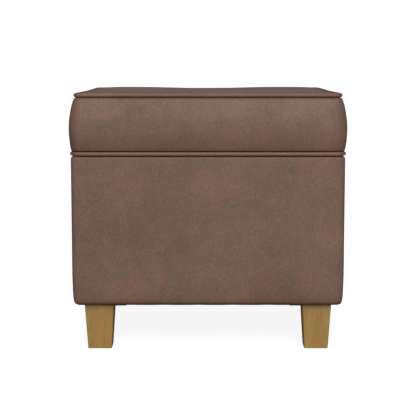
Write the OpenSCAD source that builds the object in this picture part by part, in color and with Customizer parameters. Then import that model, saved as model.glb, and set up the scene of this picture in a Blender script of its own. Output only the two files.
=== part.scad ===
// Square storage ottoman: an upholstered box on four tapered legs, with a hinged cushion lid.
// +Z is up, the front faces -Y, and the origin is on the floor under the middle of the body.

/* [Body] */
// Width of the body over its cover
body_w = 457; // [380:1:700]
// Depth of the body over its cover
body_d = 457; // [380:1:700]
// Height of the covered body, from its underside to its rim
body_h = 253.2; // [200:0.1:400]
// Corner radius of the body cover, seen from above
body_corner_r = 8; // [7:0.5:14]
// Thickness of the four wall panels
panel_t = 15; // [12:0.5:20]
// Thickness of the floor panel
floor_t = 12; // [9:0.5:18]
// Width of the square blocks that the legs bolt through
block_w = 60; // [56:1:90]
// Height of the blocks
block_h = 18; // [14:0.5:30]

/* [Upholstery] */
// Thickness of the cover material
cover_t = 1; // [0.6:0.1:1.5]
// Thickness of the foam sheet between panel and cover
padding_t = 5; // [4:0.5:10]
// Width of the cover that turns under the frame
turn_under_w = 30; // [24:1:50]
// Thickness of the lining inside the box and under the lid
lining_t = 1; // [0.6:0.1:1.5]
// Thickness of the dust cover under the body
dust_cover_t = 0.8; // [0.4:0.1:1.2]
// Distance from the body's side to the edge of the dust cover
dust_cover_inset = 8; // [6:1:12]

/* [Legs] */
// Height of a leg with its glide
leg_h = 79; // [50:1:150]
// Width of a leg at the top
leg_top_w = 50; // [36:0.5:54]
// Width of a leg at the foot
leg_foot_w = 40.3; // [30:0.1:54]
// Distance from the body's side to the middle of a leg
leg_inset = 42.7; // [38:0.1:50]
// Chamfer along a leg's edges
leg_chamfer = 1.2; // [0.5:0.1:3]
// Radius of a foot glide
glide_r = 10; // [6:0.5:14]
// Thickness of a foot glide
glide_t = 1.5; // [1:0.1:3]
// How far a glide stands out of the recess in its leg
glide_proud = 0.5; // [0.3:0.1:0.9]
// Radius of a glide's nail
glide_nail_r = 1.2; // [0.8:0.1:2]
// Length of a glide's nail
glide_nail_l = 14; // [8:1:18]

/* [Leg bolts] */
// Radius of the hanger bolts
bolt_r = 4; // [3:0.5:5]
// Length of a bolt inside its leg
bolt_in_leg = 30; // [20:1:34]
// Outer radius of a tee nut's barrel
nut_barrel_r = 5.2; // [5.2:0.1:6.5]
// Length of a tee nut's barrel
nut_barrel_l = 8; // [5:0.5:8.5]
// Radius of a tee nut's flange
nut_flange_r = 9; // [8:0.5:11]
// Thickness of a tee nut's flange
nut_flange_t = 1.2; // [0.8:0.1:1.6]

/* [Lid] */
// Height of the lid, from its lining to the top of its upper welt
lid_h = 104; // [80:1:160]
// Gap between the body's rim and the lid's lining
lid_gap = 1.6; // [1.6:0.1:3]
// How far the lid's widest line stands out past the body
lid_overhang = 3.85; // [3.6:0.05:10]
// Height of the lid's widest line above its lining
lid_bulge_z = 40.9; // [30:0.1:60]
// Radius of the bulge of the lid's sides, seen in section
lid_bulge_r = 156; // [140:1:400]
// Corner radius of the lid, seen from above
lid_corner_r = 22; // [20:1:30]
// Thickness of the lid's board
lid_board_t = 12; // [9:0.5:18]
// Inset of the foam block from the lid's widest line
foam_inset = 20; // [18:1:30]
// Thickness of the wadding over the foam
wadding_top_t = 8; // [5:0.5:15]
// Width of the boxing that turns under the board
lid_turn_under_w = 30; // [20:1:50]

/* [Welts] */
// Radius of the lower welt
lower_welt_r = 3.4; // [2.5:0.1:4]
// Inset of the lower welt's middle from the lid's widest line
lower_welt_inset = 4.95; // [4.5:0.05:8]
// Height of the lower welt's middle above the lid's lining
lower_welt_z = 3.7; // [3.7:0.1:5]
// Radius of the upper welt
upper_welt_r = 3; // [2:0.1:4]
// Inset of the upper welt's middle from the lid's widest line
upper_welt_inset = 12.05; // [10:0.05:16]
// How far the top cover lies below the top of the upper welt
top_cover_drop = 1.6; // [1:0.1:4]

/* [Hinges] */
// Length of a hinge along its pin
hinge_l = 60; // [40:1:90]
// Distance from the body's side to the middle of a hinge
hinge_inset = 78.5; // [70:0.5:110]
// Width of a hinge leaf
leaf_w = 32; // [24:1:40]
// Thickness of a hinge leaf
leaf_t = 1.2; // [1:0.1:1.2]
// Radius of the hinge barrel
barrel_r = 3.5; // [3.2:0.1:3.6]
// Radius of the hinge pin
hinge_pin_r = 1.5; // [1.2:0.1:1.8]
// Number of knuckles on a hinge
knuckles = 5; // [3:2:7]
// Number of screws in a leaf
leaf_screws = 3; // [2:1:4]

/* [Lid stays] */
// Angle at which the stays stop the lid
lid_open = 100; // [85:1:105]
// Distance between the two pivots of each stay arm
stay_p = 100; // [80:1:110]
// Distance from the rear lining to the box pivot of a stay
stay_pivot_y = 16; // [14:0.5:24]
// Depth of the lid pivot below the lid's lining
stay_drop = 13; // [12:0.5:18]
// Radius of an arm's round ends
arm_eye_r = 8; // [7:0.5:9]
// Width of a stay arm between its ends
arm_w = 12; // [9:0.5:14]
// Thickness of a stay arm
arm_t = 2; // [1.5:0.1:2.5]
// Thickness of the stay brackets
bracket_t = 1.5; // [1.2:0.1:2]
// Radius of the stay pivots
pivot_r = 2.5; // [2:0.1:3]
// Radius of the pivots' heads
pivot_head_r = 4.5; // [4:0.1:5.5]
// Radius of the peg on the lower arm that stops the upper arm
stop_r = 2.5; // [2:0.1:3]
// Distance of the peg from the elbow
stop_at = 16; // [14:0.5:20]

/* [Fasteners] */
// Radius of the small screws in hinges and brackets
small_screw_r = 1.5; // [1.2:0.1:1.7]
// Length of the small screws
small_screw_l = 11; // [8:0.5:12]
// Radius of the panel screws
panel_screw_r = 2; // [1.5:0.1:2.5]
// Length of the panel screws
panel_screw_l = 28; // [24:1:29]
// Number of panel screws at each corner
panel_screws_each = 3; // [2:1:5]
// Number of staples along each side of the dust cover
staples_each = 7; // [4:1:12]

/* [Hidden] */

$fn = 64;
LEFT = -1;
RIGHT = 1;
FRONT = -1;
REAR = 1;
COVER_COLOR = [0.42, 0.31, 0.27];
WELT_COLOR = [0.36, 0.26, 0.22];
BOARD_COLOR = [0.78, 0.66, 0.48];
LEG_COLOR = [0.62, 0.47, 0.26];
FOAM_COLOR = [0.93, 0.90, 0.78];
WADDING_COLOR = [0.95, 0.95, 0.95];
LINING_COLOR = [0.13, 0.12, 0.12];
STEEL_COLOR = [0.72, 0.72, 0.74];
RUBBER_COLOR = [0.10, 0.10, 0.10];

// How far a cutting shape runs past the face that it cuts
overcut = 1;
// Radial clearance of a pin or screw in its hole
fit_gap = 0.05;
// Smallest gap between pieces that lie side by side
side_gap = 0.3;
// Clearance around the hinge knuckles
knuckle_gap = 0.4;
// Height of one slice of the cushion's form
slice_t = 0.01;
// Number of slices in the cushion's form
slices = 10;
// Facets of a full turn on the cushion's form
form_fn = 32;

// Body levels and half-sizes, from the outside in
half_w = body_w / 2;
half_d = body_d / 2;
padding_half_w = half_w - cover_t;
padding_half_d = half_d - cover_t;
frame_half_w = padding_half_w - padding_t;
frame_half_d = padding_half_d - padding_t;
inner_half_w = frame_half_w - panel_t;
inner_half_d = frame_half_d - panel_t;
store_half_w = inner_half_w - lining_t;
store_half_d = inner_half_d - lining_t;
underside_z = leg_h + dust_cover_t;
frame_z = underside_z + cover_t;
rim_z = underside_z + body_h;
panel_top_z = rim_z - cover_t;
panel_h = panel_top_z - frame_z;
floor_z = frame_z + block_h;
floor_top_z = floor_z + floor_t;
store_floor_z = floor_top_z + lining_t;

// Leg positions and bolt levels
leg_x = half_w - leg_inset;
leg_y = half_d - leg_inset;
bolt_hole_r = bolt_r + fit_gap;
nut_recess = nut_flange_t + side_gap;
nut_top_z = floor_top_z - side_gap;
nut_seat_z = floor_top_z - nut_recess;
bolt_z = leg_h - bolt_in_leg;
block_hole_r = bolt_r + side_gap;

// Lid levels and half-sizes
lid_z = rim_z + lid_gap;
lid_top_z = lid_z + lid_h;
lid_half_w = half_w + lid_overhang;
lid_half_d = half_d + lid_overhang;
lid_turn_z = lid_z + lining_t;
board_z = lid_turn_z + cover_t;
board_top_z = board_z + lid_board_t;
band_inset = lower_welt_inset + lower_welt_r + fit_gap;
board_inset = band_inset + cover_t;
boxing_z = lid_z + lower_welt_z + lower_welt_r + side_gap;
boxing_top_z = lid_top_z - 2 * upper_welt_r - side_gap;
top_inset = upper_welt_inset + upper_welt_r + side_gap;
top_cover_top_z = lid_top_z - top_cover_drop;
wadding_top_z = top_cover_top_z - cover_t;
foam_top_z = wadding_top_z - wadding_top_t;
bulge_z = lid_z + lid_bulge_z;

// Hinge axis: above the rim's padding, clear of the panel's face and level with the gap under the lid
hinge_y = frame_half_d + knuckle_gap + barrel_r;
hinge_z = lid_z - barrel_r;
hinge_x = half_w - hinge_inset;
knuckle_l = hinge_l / knuckles;
hinge_pin_hole_r = hinge_pin_r + fit_gap;
pin_end = 1;
notch_w = hinge_l + 2 * (pin_end + side_gap);
notch_z = hinge_z - barrel_r - knuckle_gap;
leaf_screw_pitch = hinge_l / leaf_screws;

// Stay linkage: the arms and the hinge axis make a rhombus, so the lower arm turns with the lid
stay_box_y = store_half_d - stay_pivot_y;
stay_back = hinge_y - stay_box_y;
stay_box_z = hinge_z - sqrt(stay_p * stay_p - stay_back * stay_back);
stay_lid_z = lid_z - stay_drop;
stay_fall = hinge_z - stay_lid_z;
stay_lid_y = hinge_y - sqrt(stay_p * stay_p - stay_fall * stay_fall);
elbow_y = stay_box_y + stay_lid_y - hinge_y;
elbow_z = stay_box_z + stay_lid_z - hinge_z;

// Direction of the stop peg from the elbow, measured from the lower arm: it meets the upper arm's edge
// when the lid has turned through lid_open
lower_dir = atan2(stay_lid_z - hinge_z, stay_lid_y - hinge_y);
upper_dir = atan2(hinge_z - stay_box_z, hinge_y - stay_box_y);
stop_dir = upper_dir - lower_dir + lid_open + asin((arm_w / 2 + stop_r + side_gap) / stop_at);

// Distances of the stay's layers from the side lining, towards the middle of the box
boss_h = 1;
lower_arm_at = bracket_t + boss_h + side_gap;
arm_step = arm_t + side_gap;
upper_arm_at = lower_arm_at + arm_step;
lid_bracket_at = upper_arm_at + arm_step;
head_t = 1;
open_pivot_gap = 0.5;
bracket_w = 22;
bracket_h = 44;
bracket_screw_z = 15;
lid_bracket_l = 40;
lid_bracket_w = 20;
lid_bracket_screw_x = 12;
lid_bracket_screw_y = 13;
screw_head_r = 1.8 * small_screw_r;
screw_head_t = small_screw_r;
panel_head_r = 2 * panel_screw_r;
panel_head_t = panel_screw_r;
point_l = 2;

// Rubber bumpers on the rim
bumper_r = 4.5;
bumper_t = lid_gap - side_gap;
bumper_x = frame_half_w - panel_t / 2;
bumper_y = frame_half_d - panel_t / 2;

// Staples of the dust cover
staple_w = 10;
staple_wire = 0.7;
staple_prong = 6;
staple_inset = cover_t + padding_t + panel_t / 2;
staple_pitch_x = 2 * inner_half_w / staples_each;
staple_pitch_y = 2 * inner_half_d / staples_each;

// Distance by which the lid's side stands in from its widest line at a height
function bulge_inset(z) = lid_bulge_r - sqrt(lid_bulge_r * lid_bulge_r - (z - bulge_z) * (z - bulge_z));

// Heights of the screws at a corner of the frame
function panel_screw_z(i) = floor_top_z + (panel_top_z - floor_top_z) * (i + 0.5) / panel_screws_each;

module rounded_rect(w, d, r) {
    square([w - 2 * r, d], center = true);
    square([w, d - 2 * r], center = true);
    for (sx = [LEFT, RIGHT], sy = [FRONT, REAR])
        translate([sx * (w / 2 - r), sy * (d / 2 - r)]) circle(r = r);
}

// An upright slab with rounded corners, standing at height z on the half-sizes hw and hd
module slab(hw, hd, z, h, r) {
    translate([0, 0, z]) linear_extrude(h) rounded_rect(2 * hw, 2 * hd, r);
}

// A box from one corner to the opposite one
module span(low, high) {
    translate(low) cube(high - low);
}

// The part of a shape that lies on one side of the body
module on_side(sx) {
    if (sx == LEFT) mirror([1, 0, 0]) children();
    else children();
}

// ---- Box frame ----

// Countersunk screw along +Z: its head's face at z = 0 and its point at z = length
module screw(r, head_r, head_t, length, gap) {
    cylinder(r1 = head_r + gap, r2 = r + gap, h = head_t);
    cylinder(r = r + gap, h = length - point_l);
    translate([0, 0, length - point_l]) cylinder(r1 = r + gap, r2 = gap + fit_gap, h = point_l);
}

// The screws that go through the front and rear panels into the ends of the side panels
module panel_screw_set(gap) {
    for (sx = [LEFT, RIGHT], sy = [FRONT, REAR], i = [0 : panel_screws_each - 1])
        translate([sx * (inner_half_w + panel_t / 2), sy * frame_half_d, panel_screw_z(i)])
            rotate([sy * 90, 0, 0])
                screw(panel_screw_r, panel_head_r, panel_head_t, panel_screw_l, gap);
}

module end_panel(sy) {
    y = sy == FRONT ? -frame_half_d : inner_half_d;
    span([-frame_half_w, y, frame_z], [frame_half_w, y + panel_t, panel_top_z]);
}

module front_panel() {
    color(BOARD_COLOR) difference() {
        end_panel(FRONT);
        panel_screw_set(fit_gap);
    }
}

module rear_panel() {
    color(BOARD_COLOR) difference() {
        end_panel(REAR);
        panel_screw_set(fit_gap);
        hinge_box_screw_set(fit_gap);
    }
}

module side_panel(sx) {
    color(BOARD_COLOR) difference() {
        on_side(sx) span([inner_half_w, -inner_half_d, frame_z], [frame_half_w, inner_half_d, panel_top_z]);
        panel_screw_set(fit_gap);
        stay_box_screw_set(fit_gap);
    }
}

module left_panel() {
    side_panel(LEFT);
}

module right_panel() {
    side_panel(RIGHT);
}

module at_legs() {
    for (sx = [LEFT, RIGHT], sy = [FRONT, REAR])
        translate([sx * leg_x, sy * leg_y, 0]) children();
}

module floor_panel() {
    color(BOARD_COLOR) difference() {
        span([-inner_half_w, -inner_half_d, floor_z], [inner_half_w, inner_half_d, floor_top_z]);
        at_legs() {
            translate([0, 0, floor_z - overcut]) cylinder(r = nut_barrel_r + fit_gap, h = floor_t + 2 * overcut);
            translate([0, 0, nut_seat_z]) cylinder(r = nut_flange_r + side_gap, h = nut_recess + overcut);
        }
    }
}

module leg_block(sx, sy) {
    color(BOARD_COLOR) difference() {
        translate([sx * (inner_half_w - block_w / 2), sy * (inner_half_d - block_w / 2), frame_z + block_h / 2])
            cube([block_w, block_w, block_h], center = true);
        translate([sx * leg_x, sy * leg_y, frame_z - overcut])
            cylinder(r = block_hole_r, h = block_h + 2 * overcut);
    }
}

module front_left_block() {
    leg_block(LEFT, FRONT);
}

module front_right_block() {
    leg_block(RIGHT, FRONT);
}

module rear_left_block() {
    leg_block(LEFT, REAR);
}

module rear_right_block() {
    leg_block(RIGHT, REAR);
}

module panel_screws() {
    color(STEEL_COLOR) panel_screw_set(0);
}

// ---- Padding, cover and linings of the box ----

// The layer between the frame's face and the cover, with rounded corners
module padding_ring() {
    slab(padding_half_w, padding_half_d, frame_z, panel_h, body_corner_r - cover_t);
}

module front_padding() {
    color(FOAM_COLOR) intersection() {
        padding_ring();
        span([-half_w, -half_d, frame_z], [half_w, -frame_half_d, panel_top_z]);
    }
}

module rear_padding() {
    color(FOAM_COLOR) difference() {
        intersection() {
            padding_ring();
            span([-half_w, frame_half_d, frame_z], [half_w, half_d, panel_top_z]);
        }
        hinge_notches();
        for (sx = [LEFT, RIGHT])
            translate([sx * hinge_x, 0, 0])
                span([-notch_w / 2, frame_half_d - overcut, hinge_z - leaf_w - overcut],
                     [notch_w / 2, frame_half_d + leaf_t + side_gap, rim_z]);
    }
}

module side_padding(sx) {
    color(FOAM_COLOR) intersection() {
        padding_ring();
        on_side(sx) span([frame_half_w, -frame_half_d, frame_z], [half_w, frame_half_d, panel_top_z]);
    }
}

module left_padding() {
    side_padding(LEFT);
}

module right_padding() {
    side_padding(RIGHT);
}

// Cut-outs at the top of the rear wall where the hinge knuckles turn
module hinge_notches() {
    for (sx = [LEFT, RIGHT])
        translate([sx * hinge_x, 0, 0])
            span([-notch_w / 2, frame_half_d, notch_z], [notch_w / 2, half_d + overcut, rim_z + overcut]);
}

module body_cover() {
    color(COVER_COLOR) difference() {
        slab(half_w, half_d, underside_z, body_h, body_corner_r);
        slab(padding_half_w, padding_half_d, frame_z, panel_h, body_corner_r - cover_t);
        span([-inner_half_w, -inner_half_d, panel_top_z - overcut], [inner_half_w, inner_half_d, rim_z + overcut]);
        span([turn_under_w - half_w, turn_under_w - half_d, underside_z - overcut],
             [half_w - turn_under_w, half_d - turn_under_w, frame_z + overcut]);
        hinge_notches();
    }
}

module end_lining(sy) {
    y = sy == FRONT ? -inner_half_d : store_half_d;
    color(LINING_COLOR)
        span([-inner_half_w, y, store_floor_z], [inner_half_w, y + lining_t, rim_z]);
}

module front_lining() {
    end_lining(FRONT);
}

module rear_lining() {
    end_lining(REAR);
}

module side_lining(sx) {
    color(LINING_COLOR) difference() {
        on_side(sx) span([store_half_w, -store_half_d, store_floor_z], [inner_half_w, store_half_d, rim_z]);
        stay_box_screw_set(fit_gap);
    }
}

module left_lining() {
    side_lining(LEFT);
}

module right_lining() {
    side_lining(RIGHT);
}

module floor_lining() {
    color(LINING_COLOR)
        span([-inner_half_w, -inner_half_d, floor_top_z], [inner_half_w, inner_half_d, store_floor_z]);
}

module dust_cover() {
    color(LINING_COLOR) difference() {
        span([dust_cover_inset - half_w, dust_cover_inset - half_d, leg_h],
             [half_w - dust_cover_inset, half_d - dust_cover_inset, underside_z]);
        at_legs() translate([0, 0, leg_h - overcut]) cylinder(r = block_hole_r, h = dust_cover_t + 2 * overcut);
    }
}

// One staple with its crown along X under the dust cover and its prongs up in the panel
module staple() {
    translate([-staple_w / 2, -staple_wire / 2, leg_h - staple_wire]) cube([staple_w, staple_wire, staple_wire]);
    for (sx = [LEFT, RIGHT])
        translate([sx * (staple_w - staple_wire) / 2 - staple_wire / 2, -staple_wire / 2, leg_h - staple_wire])
            cube([staple_wire, staple_wire, staple_prong]);
}

module dust_cover_staples() {
    color(STEEL_COLOR) for (i = [0 : staples_each - 1], s = [-1, 1]) {
        translate([(i + 0.5) * staple_pitch_x - inner_half_w, s * (half_d - staple_inset), 0]) staple();
        translate([s * (half_w - staple_inset), (i + 0.5) * staple_pitch_y - inner_half_d, 0])
            rotate([0, 0, 90]) staple();
    }
}

module rim_bumpers() {
    color(RUBBER_COLOR) for (sx = [LEFT, RIGHT], sy = [FRONT, REAR])
        translate([sx * bumper_x, sy * bumper_y, rim_z]) cylinder(r = bumper_r, h = bumper_t);
}

// ---- Legs ----

// Square section of a leg with its edges taken off, at height z
module leg_section(w, z) {
    translate([0, 0, z]) linear_extrude(slice_t) polygon([
        for (a = [0 : 90 : 270], side = [-1, 1])
            let (x = w / 2, y = side * (w / 2 - leg_chamfer))
                [x * cos(a) - y * sin(a), x * sin(a) + y * cos(a)]
    ]);
}

module leg(sx, sy) {
    color(LEG_COLOR) difference() {
        translate([sx * leg_x, sy * leg_y, 0]) hull() {
            leg_section(leg_foot_w, glide_proud);
            leg_section(leg_top_w, leg_h - slice_t);
        }
        translate([sx * leg_x, sy * leg_y, bolt_z - side_gap])
            cylinder(r = bolt_hole_r, h = bolt_in_leg + side_gap + overcut);
        translate([sx * leg_x, sy * leg_y, 0]) {
            cylinder(r = glide_nail_r + fit_gap, h = glide_t + glide_nail_l + side_gap);
            cylinder(r = glide_r + side_gap, h = glide_t);
        }
    }
}

module front_left_leg() {
    leg(LEFT, FRONT);
}

module front_right_leg() {
    leg(RIGHT, FRONT);
}

module rear_left_leg() {
    leg(LEFT, REAR);
}

module rear_right_leg() {
    leg(RIGHT, REAR);
}

module leg_bolts() {
    color(STEEL_COLOR) at_legs()
        translate([0, 0, bolt_z]) cylinder(r = bolt_r, h = nut_top_z - bolt_z);
}

module leg_nuts() {
    color(STEEL_COLOR) at_legs() difference() {
        union() {
            translate([0, 0, nut_seat_z]) cylinder(r = nut_flange_r, h = nut_flange_t);
            translate([0, 0, nut_seat_z - nut_barrel_l]) cylinder(r = nut_barrel_r, h = nut_barrel_l);
        }
        translate([0, 0, nut_seat_z - nut_barrel_l - overcut])
            cylinder(r = bolt_hole_r, h = nut_barrel_l + nut_flange_t + 2 * overcut);
    }
}

module foot_glides() {
    color(RUBBER_COLOR) at_legs() {
        cylinder(r = glide_r, h = glide_t);
        cylinder(r = glide_nail_r, h = glide_t + glide_nail_l);
    }
}

// ---- Lid ----

// The cushion's bulging form between two heights, set in by a distance from its outer face
module cushion_form(inset, low, high) {
    hull() for (i = [0 : slices]) {
        z = low + (high - slice_t - low) * i / slices;
        in = inset + bulge_inset(z);
        translate([0, 0, z]) linear_extrude(slice_t)
            rounded_rect(2 * (lid_half_w - in), 2 * (lid_half_d - in), lid_corner_r - in, $fn = form_fn);
    }
}

// A slab of the lid's plan, set in from its widest line
module lid_slab(inset, z, h) {
    slab(lid_half_w - inset, lid_half_d - inset, z, h, lid_corner_r - band_inset);
}

module lid_board() {
    color(BOARD_COLOR) difference() {
        lid_slab(board_inset, board_z, lid_board_t);
        hinge_lid_screw_set(fit_gap);
        stay_lid_screw_set(fit_gap);
    }
}

module lid_foam() {
    color(FOAM_COLOR) lid_slab(foam_inset, board_top_z, foam_top_z - board_top_z);
}

module lid_wadding() {
    color(WADDING_COLOR) difference() {
        union() {
            cushion_form(cover_t, boxing_z + cover_t, boxing_top_z);
            lid_slab(top_inset, boxing_top_z - overcut, wadding_top_z - boxing_top_z + overcut);
        }
        lid_slab(board_inset, boxing_z - overcut, board_top_z - boxing_z + overcut);
        lid_foam();
    }
}

module lid_boxing() {
    edge_in = cover_t + bulge_inset(boxing_top_z);
    color(COVER_COLOR) {
        difference() {
            cushion_form(0, boxing_z, boxing_top_z);
            cushion_form(cover_t, boxing_z + cover_t, boxing_top_z);
            translate([0, 0, boxing_top_z - slice_t]) linear_extrude(overcut)
                rounded_rect(2 * (lid_half_w - edge_in), 2 * (lid_half_d - edge_in), lid_corner_r - edge_in,
                             $fn = form_fn);
            lid_slab(board_inset, boxing_z - overcut, 3 * overcut);
        }
        difference() {
            lid_slab(band_inset, lid_turn_z, boxing_z + cover_t - lid_turn_z);
            lid_slab(board_inset, board_z, boxing_z + overcut);
            lid_slab(board_inset + lid_turn_under_w, lid_turn_z - overcut, cover_t + 2 * overcut);
            hinge_lid_screw_set(fit_gap);
            stay_lid_screw_set(fit_gap);
        }
    }
}

module lid_top_cover() {
    color(COVER_COLOR) lid_slab(top_inset, wadding_top_z, cover_t);
}

// A round cord that runs once around the lid with its middle at height z
module welt(inset, z, r) {
    hw = lid_half_w - inset;
    hd = lid_half_d - inset;
    turn_r = lid_corner_r - inset;
    color(WELT_COLOR) {
        for (s = [-1, 1]) {
            translate([turn_r - hw, s * hd, z]) rotate([0, 90, 0]) cylinder(r = r, h = 2 * (hw - turn_r));
            translate([s * hw, hd - turn_r, z]) rotate([90, 0, 0]) cylinder(r = r, h = 2 * (hd - turn_r));
        }
        for (a = [0, 90, 180, 270])
            translate([(a == 0 || a == 270 ? 1 : -1) * (hw - turn_r), (a < 180 ? 1 : -1) * (hd - turn_r), z])
                rotate([0, 0, a]) rotate_extrude(angle = 90) translate([turn_r, 0]) circle(r = r);
    }
}

module lower_welt() {
    welt(lower_welt_inset, lid_z + lower_welt_z, lower_welt_r);
}

module upper_welt() {
    welt(upper_welt_inset, lid_top_z - upper_welt_r, upper_welt_r);
}

module lid_lining() {
    color(LINING_COLOR) difference() {
        lid_slab(board_inset, lid_z, lining_t);
        hinge_lid_screw_set(fit_gap);
        stay_lid_screw_set(fit_gap);
    }
}

// ---- Hinges ----

// Places a shape drawn along +Z on the hinge's pin, which runs along X
module at_hinge(sx) {
    translate([sx * hinge_x - hinge_l / 2, hinge_y, hinge_z]) rotate([0, 90, 0]) children();
}

// Every other knuckle of a hinge from the first one, with the radius r and a length that gap shortens
module knuckle_row(sx, first, r, gap) {
    at_hinge(sx) for (i = [first : 2 : knuckles - 1])
        translate([0, 0, i * knuckle_l + gap]) cylinder(r = r, h = knuckle_l - 2 * gap);
}

module hinge_pin_row(r) {
    for (sx = [LEFT, RIGHT])
        at_hinge(sx) translate([0, 0, -pin_end]) cylinder(r = r, h = hinge_l + 2 * pin_end);
}

module box_leaf(sx) {
    color(STEEL_COLOR) difference() {
        union() {
            difference() {
                translate([sx * hinge_x, 0, 0])
                    span([-hinge_l / 2, frame_half_d, hinge_z - leaf_w],
                         [hinge_l / 2, frame_half_d + leaf_t, hinge_z]);
                knuckle_row(sx, 1, barrel_r + knuckle_gap, -side_gap);
            }
            knuckle_row(sx, 0, barrel_r, 0);
        }
        hinge_pin_row(hinge_pin_hole_r);
        hinge_box_screw_set(fit_gap);
    }
}

module lid_leaf(sx) {
    color(STEEL_COLOR) difference() {
        union() {
            difference() {
                translate([sx * hinge_x, 0, 0])
                    span([-hinge_l / 2, hinge_y - leaf_w, lid_z - leaf_t], [hinge_l / 2, hinge_y, lid_z]);
                knuckle_row(sx, 0, barrel_r + knuckle_gap, -side_gap);
            }
            knuckle_row(sx, 1, barrel_r, side_gap);
        }
        hinge_pin_row(hinge_pin_hole_r);
        hinge_lid_screw_set(fit_gap);
    }
}

module left_hinge_box_leaf() {
    box_leaf(LEFT);
}

module right_hinge_box_leaf() {
    box_leaf(RIGHT);
}

module left_hinge_lid_leaf() {
    lid_leaf(LEFT);
}

module right_hinge_lid_leaf() {
    lid_leaf(RIGHT);
}

module hinge_pins() {
    color(STEEL_COLOR) hinge_pin_row(hinge_pin_r);
}

function leaf_screw_x(i) = (i + 0.5) * leaf_screw_pitch - hinge_l / 2;

module hinge_box_screw_set(gap) {
    for (sx = [LEFT, RIGHT], i = [0 : leaf_screws - 1])
        translate([sx * hinge_x + leaf_screw_x(i), frame_half_d + leaf_t, hinge_z - leaf_w / 2 - barrel_r / 2])
            rotate([90, 0, 0]) screw(small_screw_r, screw_head_r, screw_head_t, small_screw_l, gap);
}

module hinge_lid_screw_set(gap) {
    for (sx = [LEFT, RIGHT], i = [0 : leaf_screws - 1])
        translate([sx * hinge_x + leaf_screw_x(i), hinge_y - leaf_w / 2 - barrel_r / 2, lid_z - leaf_t])
            screw(small_screw_r, screw_head_r, screw_head_t, small_screw_l, gap);
}

module hinge_box_screws() {
    color(STEEL_COLOR) hinge_box_screw_set(0);
}

module hinge_lid_screws() {
    color(STEEL_COLOR) hinge_lid_screw_set(0);
}

// ---- Lid stays ----

// Places a shape drawn along +Z at a stay pivot, running inwards from the right-hand lining
module at_stay(y, z, at) {
    translate([store_half_w - at, y, z]) rotate([0, -90, 0]) children();
}

// A flat bar between two pivots, with round ends and a hole in each
module arm(from_y, from_z, to_y, to_z, at, from_hole_r, to_hole_r) {
    length = norm([to_y - from_y, to_z - from_z]);
    angle = atan2(to_z - from_z, to_y - from_y);
    translate([store_half_w - at - arm_t, from_y, from_z]) rotate([angle, 0, 0]) difference() {
        union() {
            translate([0, 0, -arm_w / 2]) cube([arm_t, length, arm_w]);
            for (y = [0, length]) translate([0, y, 0]) rotate([0, 90, 0]) cylinder(r = arm_eye_r, h = arm_t);
        }
        translate([-overcut, 0, 0]) rotate([0, 90, 0]) cylinder(r = from_hole_r, h = arm_t + 2 * overcut);
        translate([-overcut, length, 0]) rotate([0, 90, 0]) cylinder(r = to_hole_r, h = arm_t + 2 * overcut);
    }
}

// Lug on the lower arm beyond the elbow, with a peg that reaches across to the upper arm
module stop_lug() {
    translate([store_half_w - lower_arm_at - arm_t, elbow_y, elbow_z]) rotate([lower_dir + stop_dir, 0, 0]) {
        translate([0, pivot_r + side_gap, -stop_r]) cube([arm_t, stop_at - pivot_r - side_gap, 2 * stop_r]);
        translate([-arm_step, stop_at, 0]) rotate([0, 90, 0]) cylinder(r = stop_r, h = arm_step + arm_t);
    }
}

module stay_lower_arm(sx) {
    color(STEEL_COLOR) on_side(sx) {
        arm(stay_box_y, stay_box_z, elbow_y, elbow_z, lower_arm_at, pivot_r + fit_gap, pivot_r + fit_gap);
        stop_lug();
    }
}

module stay_upper_arm(sx) {
    color(STEEL_COLOR) on_side(sx)
        arm(elbow_y, elbow_z, stay_lid_y, stay_lid_z, upper_arm_at, pivot_r + fit_gap, pivot_r + open_pivot_gap);
}

module left_stay_lower_arm() {
    stay_lower_arm(LEFT);
}

module right_stay_lower_arm() {
    stay_lower_arm(RIGHT);
}

module left_stay_upper_arm() {
    stay_upper_arm(LEFT);
}

module right_stay_upper_arm() {
    stay_upper_arm(RIGHT);
}

// Rivet through both arms, held fast in the lower one
module stay_elbow_rivet(sx) {
    color(STEEL_COLOR) on_side(sx) {
        at_stay(elbow_y, elbow_z, lower_arm_at - head_t) cylinder(r = pivot_head_r, h = head_t);
        at_stay(elbow_y, elbow_z, lower_arm_at - head_t)
            cylinder(r = pivot_r, h = head_t + arm_t + arm_step + side_gap + head_t);
        at_stay(elbow_y, elbow_z, upper_arm_at + arm_t + side_gap) cylinder(r = pivot_head_r, h = head_t);
    }
}

module left_stay_elbow_rivet() {
    stay_elbow_rivet(LEFT);
}

module right_stay_elbow_rivet() {
    stay_elbow_rivet(RIGHT);
}

// Plate on the side wall that carries the lower arm's pivot on a low boss
module stay_box_bracket(sx) {
    color(STEEL_COLOR) difference() {
        on_side(sx) {
            span([store_half_w - bracket_t, stay_box_y - bracket_w / 2, stay_box_z - bracket_h / 2],
                 [store_half_w, stay_box_y + bracket_w / 2, stay_box_z + bracket_h / 2]);
            at_stay(stay_box_y, stay_box_z, 0) cylinder(r = pivot_head_r, h = bracket_t + boss_h);
        }
        on_side(sx) at_stay(stay_box_y, stay_box_z, -overcut)
            cylinder(r = pivot_r + fit_gap, h = bracket_t + boss_h + 2 * overcut);
        stay_box_screw_set(fit_gap);
    }
}

module left_stay_box_bracket() {
    stay_box_bracket(LEFT);
}

module right_stay_box_bracket() {
    stay_box_bracket(RIGHT);
}

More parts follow.
